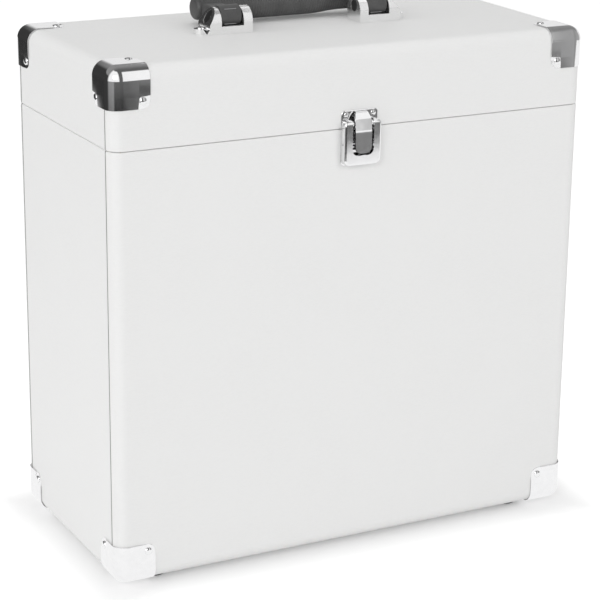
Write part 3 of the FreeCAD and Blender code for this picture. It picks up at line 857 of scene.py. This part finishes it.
def basePlate():
    size = latchSizes
    plate = frontPlate(
        "latch_base_plate", (baseLow.x, plateFront, baseLow.z),
        (baseHigh.x, -halfDepth, parting - size["keeperFoot"]), 0, size["plateCorner"],
        size["plateRim"],
    )
    nose = arc(size["pivot"], size["earRound"], *size["earNose"], 8)
    high = size["pivot"][1] + size["earRound"]
    out, foot = size["earFoot"]
    back, top = size["earBack"]
    outline = [(0, foot), (out, foot), *nose, (back, high), (back, top), (0, top)]
    outer = size["slotHalf"] - size["earGap"]
    uniteBoth(plate, outlined("ear", outline, outer - size["earSheet"], outer))
    softenEdges(plate, size["baseSoft"])
    dress(plate, "chrome_plate", "case", "latch_base")
    pin = crossRod(
        "pin", size["pinRadius"], onFront(size["pivot"]), outer - size["earSheet"], leverHigh.x, 32
    )
    softenEdges(pin, size["pinSoft"])
    pins = joinPieces([mirroredTwin(pin), pin], "latch_lever_pin_set")
    dress(pins, "plain_steel", "case", "latch_lever_pins")


def leverFrame():  # a pressed tray with a slot for the link, open at its top
    size = latchSizes
    tray = frontPlate(
        "latch_lever_frame", leverLow, leverHigh, size["leverTop"], size["leverFoot"], size["leverRim"]
    )
    edit()
    chooseAt("FACE", 1, leverHigh.y)
    bpy.ops.mesh.delete(type="FACE")
    leaveEdit()
    thicken(tray, size["leverSheet"])
    out, half, low = size["pivot"][0], size["pivotRound"], pastLatch["low"]
    outline = [(out - half, low), (out + half, low)] + arc(size["pivot"], half, 0, 180, 12)
    carve(tray, outlined("across", outline, -pastLatch["half"], pastLatch["half"]), "INTERSECT")
    slot = frontPlate(
        "slot", (-size["slotHalf"], pastLatch["front"], parting - size["slotDrop"]),
        (size["slotHalf"], -halfDepth, caseTop), 0, size["slotCorner"], 0,
    )
    carve(tray, slot)
    for place, radius in ((size["pivot"], size["pinRadius"]), (size["linkPin"], size["linkPinRadius"])):
        bore(tray, radius, onFront(place), -pastLatch["half"], pastLatch["half"], 24)
    softenEdges(tray, size["leverSoft"], 2, 50)
    dress(tray, "chrome_plate", "lever", "latch_lever")
    pin = crossRod(
        "latch_link_pin_rod", size["linkPinRadius"], onFront(size["linkPin"]), leverLow.x, leverHigh.x, 24
    )
    softenEdges(pin, size["linkPinSoft"])
    dress(pin, "plain_steel", "lever", "latch_link_pin")


def bendStrip(half):  # gives the flat strip its bends and its narrow end
    size = linkSizes
    crease, shoulder, top = size["crease"], size["shoulder"], size["top"]
    for up in (crease[1], size["taper"], shoulder[1]):
        cutAcross(2, parting + up * mm)
    share = (size["taper"] - crease[1]) / (shoulder[1] - crease[1])
    taperOut = crease[0] + (shoulder[0] - crease[0]) * share
    for out, up in (size["foot"], crease, shoulder, top, (taperOut, size["taper"])):
        chooseAt("VERT", 2, parting + up * mm)
        bpy.ops.transform.translate(value=(0, -out * mm, 0))
    for up, wide in ((shoulder[1], size["shoulderHalf"]), (top[1], size["topHalf"])):
        chooseAt("VERT", 2, parting + up * mm)
        bpy.ops.transform.resize(value=(wide / half, 1, 1), center_override=(0, -halfDepth, 0))
    chooseAt("EDGE", 2, hookHigh.z)
    extrudeBy((0, (top[0] - size["lip"]) * mm, 0))


def hookStrip():  # a strip bent at its crease and shoulder, with a lip and two lugs
    size = linkSizes
    half = hookHigh.x
    strip = begin(
        "latch_hook_strip", bpy.ops.mesh.primitive_plane_add, size=1, rotation=(math.pi / 2, 0, 0),
        location=(0, -halfDepth, (hookLow.z + hookHigh.z) / 2),
    )
    strip.scale = (2 * half, hookHigh.z - hookLow.z, 1)
    settle(strip)
    edit()
    bendStrip(half)
    for fold, radius in size["folds"].items():
        y, z = onFront(size[fold])
        choose("EDGE", lambda edge: allAt(edge, 1, y) and allAt(edge, 2, z))
        roundOff(radius, 4)
    chooseAt("VERT", 2, hookLow.z)
    roundOff(size["footCorner"], 7, "VERTICES")
    leaveEdit()
    thicken(strip, size["sheet"])
    out, up = latchSizes["linkPin"]
    eye, deep = size["eye"], size["crease"][0] - size["lugSink"]
    outline = [(out - eye, up - eye), (deep, up - eye), (deep, up + eye), (out - eye, up + eye)]
    uniteBoth(strip, outlined("lug", outline, half - size["lug"], half))
    radius = latchSizes["linkPinRadius"] + size["boreGap"]
    bore(strip, radius, onFront(latchSizes["linkPin"]), -pastLatch["half"], pastLatch["half"], 24)
    softenEdges(strip, size["soft"], 2, 50)
    dress(strip, "chrome_plate", "hook", "latch_hook")


def latchRivets():
    for plate, body in (("keeper", "lid"), ("base", "case")):
        tips = [(x * mm, plateFront, parting + up * mm) for x, up in latchSizes[plate + "Rivets"]]
        name = "latch_" + plate + "_rivet"
        fasten(
            name + "_set", rivetModel(latchRivet), tips, (0, -1, 0), "chrome_plate", body, name + "s"
        )


def makeLatch():
    keeperPlate()
    basePlate()
    leverFrame()
    hookStrip()
    latchRivets()
    print("latch made")


makeLatch()


# Handle brackets and their pins, modelled on the right and mirrored

bracketSizes = inMm(
    inner=42.7, windowInner=49.5, windowOuter=66.5, outer=75.5, half=9.8, side=7.9,
    slopeFoot=7, slopeTop=69, sill=5.5, sillWall=2.2, floor=1.5, edge=0.5,
    lug=78.6, lugRadius=4.6, lugHeight=3.8, boreStart=30, boreEnd=90,
    pinRadius=4.4, pinRecess=0.3, pinEdge=0.35, pivot=11.6,
)
lugScrew = inMm(radius=2.8, dome=1.4, rim=0.4, driveReach=1.5, driveWidth=0.35, driveDepth=0.7)
windowRivet = inMm(radius=3, dome=1.2, rim=0.25)
pivotPlace = (0, caseTop + bracketSizes["pivot"])


def slopeCut(piece, recess):  # takes off what lies outside the slanted face
    size = bracketSizes
    rise = size["side"] + size["half"] - size["slopeFoot"]
    run = size["outer"] - size["slopeTop"]
    takeUp(piece)
    edit()
    place = (size["outer"] - recess, 0, caseTop + size["slopeFoot"])
    bisectAt(place, Vector((rise, 0, run)).normalized(), clear_outer=True, use_fill=True)
    leaveEdit()


def bracketModel():
    size = bracketSizes
    half, lugTop = size["half"], caseTop + size["lugHeight"]
    arch = arc((0, caseTop + size["side"]), half, 0, 180, 18)
    outline = [(half, caseTop), *arch, (-half, caseTop)]
    bracket = profiled("bracketModel", outline, size["inner"], size["outer"])
    slopeCut(bracket, 0)
    lug = begin(
        "lug", bpy.ops.mesh.primitive_cylinder_add, vertices=40, radius=size["lugRadius"],
        depth=size["lugHeight"], location=(size["lug"], 0, caseTop + size["lugHeight"] / 2),
    )
    settle(lug)
    carve(bracket, lug, "UNION")
    neck = boxSized(
        "neck", (size["windowOuter"], -size["lugRadius"], caseTop), (size["lug"], size["lugRadius"], lugTop)
    )
    carve(bracket, neck, "UNION")
    for name, reach, level in (("window", 2 * half, "sill"), ("pocket", half - size["sillWall"], "floor")):
        low = (size["windowInner"], -reach, caseTop + size[level])
        carve(bracket, boxSized(name, low, (size["windowOuter"], reach, 1)))
    bore(bracket, size["pinRadius"], pivotPlace, size["boreStart"], size["boreEnd"], 40)
    softenEdges(bracket, size["edge"], 3, 32)
    return bracket


def makeBrackets():
    size = bracketSizes
    bracket = bracketModel()
    pair = joinPieces([mirroredTwin(bracket), bracket], "handle_bracket_pair")
    dress(pair, "satin_plate", "lid", "handle_brackets", slotName="chrome_plate")
    pin = crossRod(
        "pin", size["pinRadius"], pivotPlace, size["inner"] + size["pinRecess"],
        size["outer"] - size["pinRecess"], 40,
    )
    slopeCut(pin, size["pinRecess"])
    softenEdges(pin, size["pinEdge"], 3)
    pins = joinPieces([mirroredTwin(pin), pin], "handle_pivot_pin_pair")
    dress(pins, "pin_black", "lid", "handle_pivot_pins")
    window = (size["windowInner"] + size["windowOuter"]) / 2
    for name, model, place, height, node in (
        ("handle_lug_screw_set", screwModel(lugScrew), size["lug"], "lugHeight", "screws"),
        ("handle_window_rivet_set", rivetModel(windowRivet), window, "floor", "rivets"),
    ):
        tips = [(side * place, 0, caseTop + size[height]) for side in (-1, 1)]
        fasten(name, model, tips, (0, 0, 1), "chrome_plate", "lid", "handle_bracket_" + node)
    print("handle brackets made")


makeBrackets()


# Handle: a ribbed, swelling bar with two arms that turn on the pins

gripSizes = inMm(
    reach=33, middle=10, middleHalf=20, neck=8.3, neckAt=47, end=5.6, endAt=69, endRound=3.4,
    pitch=2, groove=0.22, barrel=7.4, barrelSoft=0.5, sideGap=0.5, armHalf=4.6, armRound=2.6,
    boreStart=40, boreEnd=80, boreGap=0.1,
)
endRings = (0.15, 0.4, 0.65, 0.85, 0.96, 1)  # shares of the rounded end where its rings lie
ribHalf = 0.3  # half a rib's width as a share of the pitch


def barRadius(place):  # the bar's radius at a distance from its middle
    size = gripSizes
    away = abs(place)
    share = min(1, max(0, (away - size["middleHalf"]) / (size["neckAt"] - size["middleHalf"])))
    swell = 0.5 + 0.5 * math.cos(math.pi * share)
    radius = size["neck"] + (size["middle"] - size["neck"]) * swell
    start = size["endAt"] - size["endRound"]
    if away > start:
        drop = (away - start) / size["endRound"]
        radius -= (radius - size["end"]) * (1 - math.sqrt(max(0, 1 - drop * drop)))
    return radius


def gripBar():
    size = gripSizes
    start = size["endAt"] - size["endRound"]
    pitch = size["pitch"]
    count = int(start / pitch)
    ends = [start + share * size["endRound"] for share in endRings]
    profile = [(0, -size["endAt"])] + [(barRadius(place), -place) for place in reversed(ends)]
    for step in range(-count, count + 1):
        place = step * pitch
        radius = barRadius(place)
        profile.append((radius, place - ribHalf * pitch))
        profile.append((radius, place + ribHalf * pitch))
        if step < count:
            profile.append((radius - size["groove"], place + 0.5 * pitch))
    profile += [(barRadius(place), place) for place in ends] + [(0, size["endAt"])]
    bar = turned("handle_grip_bar", profile, 36)
    return standing(bar, (0, size["reach"], pivotPlace[1]), (1, 0, 0))


def gripArm():
    size = gripSizes
    low = bracketSizes["windowInner"] + size["sideGap"]
    high = bracketSizes["windowOuter"] - size["sideGap"]
    z = pivotPlace[1]
    arm = boxSized("arm", (low, 0, z - size["armHalf"]), (high, size["reach"], z + size["armHalf"]))
    edit()
    choose("EDGE", lambda edge: not near(edge.verts[0].co.y, edge.verts[1].co.y))
    roundOff(size["armRound"], 5)
    leaveEdit()
    barrel = crossRod("barrel", size["barrel"], pivotPlace, low, high, 44)
    softenEdges(barrel, size["barrelSoft"])
    carve(arm, barrel, "UNION")
    return arm


def makeHandle():
    bar = gripBar()
    uniteBoth(bar, gripArm())
    radius = bracketSizes["pinRadius"] + gripSizes["boreGap"]
    start, end = gripSizes["boreStart"], gripSizes["boreEnd"]
    for low, high in ((-end, -start), (start, end)):
        bore(bar, radius, pivotPlace, low, high, 40)
    dress(bar, "grip_black", "handle", "handle_grip", smooth=28)
    print("handle made")


makeHandle()


# Feet and screws

footSizes = inMm(
    radius=8, recess=3.9, web=2.2, edge=1.2, lip=0.4, topStep=0.3, insetX=36.5, insetY=22
)
screwSizes = inMm(radius=2.7, dome=1.1, rim=0.3, driveReach=1.4, driveWidth=0.32, driveDepth=0.6)
hingeSizes = inMm(leaf=1.2, inset=67.5, pitch=12.5, drop=10.5, stagger=7.5)


def makeFeet():
    size = footSizes
    radius, recess, web, edge, lip = (size[key] for key in ("radius", "recess", "web", "edge", "lip"))
    profile = [
        (0, web), (recess, web), (recess, lip), (recess + lip, 0), (radius - edge, 0),
        *arc((radius - edge, edge), edge, -65, -15, 2), (radius, edge),
        (radius - size["topStep"], caseBottom), (0, caseBottom),
    ]
    foot = turned("footModel", profile, 40)
    x, y = halfWidth - size["insetX"], halfDepth - size["insetY"]
    places = [(side * x, face * y) for face in (-1, 1) for side in (-1, 1)]
    feet = [standing(copied(foot, "foot"), (*place, 0), (0, 0, 1)) for place in places]
    bpy.data.objects.remove(foot)
    dress(joinPieces(feet, "foot_set"), "foot_rubber", "case", "feet")
    tips = [(*place, web) for place in places]
    fasten(
        "foot_screw_set", screwModel(screwSizes), tips, (0, 0, -1), "plain_steel", "case", "foot_screws"
    )
    print("feet made")


def makeHingeScrews():
    size = hingeSizes
    for end, part, body in ((-1, "body", "case"), (1, "lid", "lid")):
        tips = []
        for side in (-1, 1):
            for step in (-1, 0, 1):
                drop = size["drop"] + (size["stagger"] if step else 0)
                x = side * (halfWidth - size["inset"]) + step * size["pitch"]
                tips.append((x, halfDepth + size["leaf"], parting + end * drop))
        fasten(
            part + "_hinge_screw_set", screwModel(screwSizes), tips, (0, 1, 0), "nickelled_steel",
            body, "hinge_" + part + "_screws",
        )
    print("hinge screws made")


makeFeet()
makeHingeScrews()


# Camera

cameraSizes = {
    "place": (-0.681, -1.314, 0.636), "yaw": 27.46, "pitch": 17.75, "roll": 0.66, "lens": 126.0,
    "sensor": 36,
}


def makeCamera():
    look = cameraSizes
    yaw, pitch = math.radians(look["yaw"]), math.radians(look["pitch"])
    forward = Vector((
        math.sin(yaw) * math.cos(pitch), math.cos(yaw) * math.cos(pitch), -math.sin(pitch)
    ))
    roll = Matrix.Rotation(math.radians(look["roll"]), 3, "Z").to_quaternion()
    camera = bpy.data.objects.new("camera", bpy.data.cameras.new("camera"))
    bpy.context.scene.collection.objects.link(camera)
    camera.data.lens = look["lens"]
    camera.data.sensor_width = look["sensor"]
    camera.location = look["place"]
    camera.rotation_mode = "QUATERNION"
    camera.rotation_quaternion = forward.to_track_quat("-Z", "Y") @ roll
    bpy.context.scene.camera = camera


# Studio: a white floor that keeps the shadow, a card over the case, and soft boxes

# the camera sees the floor glow, less beside the case than away from it, which paints shade on the floor
# around the case, and reflections see it shine
floorLook = {
    "low": (-1.1, -1.18), "high": (2.2, 2.6), "level": 0.9, "inChrome": 0.02, "roughness": 0.8,
    "glow": (0.2, 0.5), "paintedShadeReach": (0.0, 0.05), "shine": 0.95, "shineSide": (-0.75, -0.5),
}
card = {"low": (0.46, -0.35), "high": (0.84, 1.0), "height": 1.45}


def panel(name, low, high, height):  # a level sheet
    sheet = begin(
        name, bpy.ops.mesh.primitive_plane_add, size=1,
        location=((low[0] + high[0]) / 2, (low[1] + high[1]) / 2, height),
    )
    sheet.scale = (high[0] - low[0], high[1] - low[1], 1)
    settle(sheet)
    return sheet


def awayFromCase(tree, x, y):  # how far a place on the floor lies outside the case's sides
    beside = mathNode(tree, "SUBTRACT", distance(tree, x), halfWidth)
    before = mathNode(tree, "SUBTRACT", distance(tree, y), halfDepth)
    return mathNode(tree, "MAXIMUM", beside, before)


def makeFloor():
    look = floorLook
    floor = panel("floor", look["low"], look["high"], 0)
    material, tree, shader = newMaterial(
        "floorWhite", Roughness=look["roughness"], Emission_Color=(1, 1, 1, 1)
    )
    path = addNode(tree, "LightPath").outputs
    x, y, z = placeParts(tree)
    # painted shadow: the floor glows less near the case, so it is darker beside its foot
    far = smoothStep(tree, awayFromCase(tree, x, y), *look["paintedShadeReach"])
    glow = product(tree, path["Is Camera Ray"], ranged(tree, far, *look["glow"]))
    shine = product(tree, smoothStep(tree, x, *look["shineSide"]), look["shine"])
    shine = product(tree, shine, path["Is Glossy Ray"])
    colour = mixed(tree, path["Is Glossy Ray"], look["level"], look["inChrome"])
    feedAll(tree, shader, Emission_Strength=added(tree, glow, shine), Base_Color=colour)
    floor.data.materials.append(material)


def makeCard():  # only reflections show it
    sheet = panel("reflectorCard", card["low"], card["high"], card["height"])
    material, tree, shader = newMaterial(
        "cardWhite", Emission_Strength=1.0, Emission_Color=(1, 1, 1, 1), Base_Color=(0, 0, 0, 1)
    )
    sheet.data.materials.append(material)
    sheet.visible_camera = False
    sheet.visible_diffuse = False
    sheet.visible_shadow = False


lampTarget = Vector((0, 0, 0.2))
lamps = {
    "keyBox": {"place": (-1.5, -1.7, 1.3), "size": (1.2, 1.0), "power": 12.0, "shows": True},
    "frontBox": {"place": (0.9, -1.9, 1.0), "size": (0.9, 0.9), "power": 8.0, "shows": False},
    "sideBox": {"place": (-2.0, 0.2, 0.9), "size": (1.2, 1.2), "power": 9.0, "shows": False},
    "topBox": {"place": (0.2, 0.3, 2.0), "size": (1.3, 0.8), "power": 4.0, "shows": False},
}


def makeLamps():
    for name, values in lamps.items():
        lamp = bpy.data.objects.new(name, bpy.data.lights.new(name, "AREA"))
        bpy.context.scene.collection.objects.link(lamp)
        lamp.data.shape = "RECTANGLE"
        lamp.data.size, lamp.data.size_y = values["size"]
        lamp.data.energy = values["power"]
        lamp.visible_glossy = values["shows"]
        lamp.location = values["place"]
        lamp.rotation_mode = "QUATERNION"
        lamp.rotation_quaternion = (lampTarget - lamp.location).to_track_quat("-Z", "Y")


# World: soft light all round, and for the chrome a dark room with white windows. Most pairs say
# where a change in brightness starts and ends, on an axis of the ray's direction.

room = {
    "soft": 0.55, "dark": 0.04, "behind": (-0.05, 0.25),
    "backdropLevel": 0.85, "backdropSide": (0.0, 0.3), "backdropHigh": (0.34, 0.46),
    "ceilingLevels": (0.12, 0.27), "ceilingSide": (-0.2, 0.5),
    "ceilingLow": (0.8, 0.86), "leftCeilingLow": (0.92, 0.96), "windowLow": (-0.15, -0.11),
    "rightWindow": (0.28, 0.366), "rightWindowEnd": (0.5, 0.56), "leftWindow": (0.08, 0.18),
    "dimSide": (0.462, 0.484), "dimLow": (-0.06, -0.03), "dimHigh": (0.04, 0.1), "dim": 0.85,
    # brightness of the room below the windows by direction, from left, -1, to right, 1
    "lowRoom": [
        (-1.0, 0.18), (-0.78, 0.22), (-0.68, 0.03), (0.36, 0.02), (0.38, 0.09), (0.44, 0.12),
        (0.52, 0.16), (0.565, 0.24), (0.575, 0.3), (0.59, 0.18), (1.0, 0.3),
    ],
    "lowRoomRise": (-0.222, -0.2), "lowRoomLift": 0.1,
}


def backRoom(tree, x, z, ceiling):  # a bright backdrop at the right and the ceiling over it
    rightward = smoothStep(tree, x, *room["backdropSide"])
    backdrop = mixed(tree, rightward, room["dark"], room["backdropLevel"])
    return mixed(tree, smoothStep(tree, z, *room["backdropHigh"]), backdrop, ceiling)


def rightWindow(tree, x, z):  # a window with a dimmer patch in it
    patch = between(tree, z, room["dimLow"], room["dimHigh"])
    dim = product(tree, product(tree, smoothStep(tree, x, *room["dimSide"]), room["dim"]), patch)
    return product(tree, between(tree, x, room["rightWindow"], room["rightWindowEnd"]), oneMinus(tree, dim))


def frontRoom(tree, x, z, ceiling):  # a low room, two windows over it, and the ceiling
    rise = product(tree, smoothStep(tree, z, *room["lowRoomRise"]), room["lowRoomLift"])
    low = added(tree, shaded(tree, x, room["lowRoom"]), rise)
    left = smoothStep(tree, product(tree, x, -1), *room["leftWindow"])
    window = mathNode(tree, "MAXIMUM", left, rightWindow(tree, x, z))
    window = product(tree, window, smoothStep(tree, z, *room["windowLow"]))
    rightTop = smoothStep(tree, z, *room["ceilingLow"])
    leftTop = smoothStep(tree, z, *room["leftCeilingLow"])
    return mixed(tree, mixed(tree, left, rightTop, leftTop), mixed(tree, window, low, 1.0), ceiling)


def makeWorld():
    world = bpy.data.worlds.new("studioWorld")
    bpy.context.scene.world = world
    world.use_nodes = True
    tree = world.node_tree
    path = addNode(tree, "LightPath").outputs
    x, y, z = placeParts(tree, "Generated")
    ceiling = ranged(tree, smoothStep(tree, y, *room["ceilingSide"]), *room["ceilingLevels"])
    behind = smoothStep(tree, y, *room["behind"])
    whole = mixed(tree, behind, frontRoom(tree, x, z, ceiling), backRoom(tree, x, z, ceiling))
    glossy = mixed(tree, path["Is Glossy Ray"], room["soft"], whole)
    direct = mathNode(tree, "MAXIMUM", path["Is Camera Ray"], path["Is Transmission Ray"])
    strength = mixed(tree, direct, glossy, 1.0)
    feedAll(tree, tree.nodes["Background"], Color=(1, 1, 1, 1), Strength=strength)


makeCamera()
makeFloor()
makeCard()
makeLamps()
makeWorld()
bpy.context.scene.view_settings.view_transform = "Standard"
print("camera, floor and lamps made")
